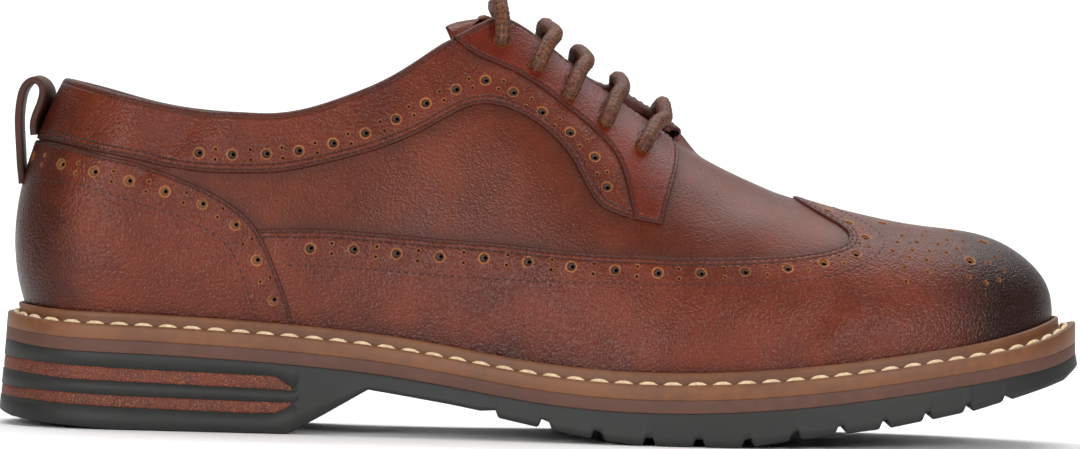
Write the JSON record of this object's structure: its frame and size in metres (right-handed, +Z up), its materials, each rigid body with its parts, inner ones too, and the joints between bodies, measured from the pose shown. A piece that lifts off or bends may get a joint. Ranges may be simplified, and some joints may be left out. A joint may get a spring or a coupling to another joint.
{
  "type": "dress shoe",
  "caption": "Leather lace-up dress shoe with a punched wing cap, heel counter and collar band, welted layered sole, low lugs and a pull loop.",
  "frame": {"origin": "on the floor plane, under the middle of the outsole's length and width", "axes": "+X from heel to toe, +Y towards the big toe, +Z up from the floor"},
  "size_m": [0.305, 0.111, 0.1226],
  "materials": {
    "leather": "smooth waxed brown leather",
    "facing_leather": "smooth redder leather",
    "welt": "tan welt strip",
    "midsole": "mauve brown layer",
    "rubber": "matt near-black rubber",
    "inlay": "speckled rust band",
    "insole": "pale tan lining leather",
    "lace": "round waxed cord"
  },
  "bodies": {
    "root": {"outsole": "rubber", "heel_inlay_upper": "inlay", "heel_inlay_lower": "inlay", "midsole": "midsole", "welt": "welt", "insole": "insole", "upper": "leather", "heel_counter": "leather", "collar_band": "leather", "wing_cap": "leather", "eyelet_tab_outer": "facing_leather", "eyelet_tab_inner": "facing_leather", "tongue": "leather", "lace_bar_1": "lace", "lace_bar_2": "lace", "lace_bar_3": "lace", "lace_bar_4": "lace", "lace_bar_5": "lace", "pull_loop": "leather"}
  },
  "joints": []
}
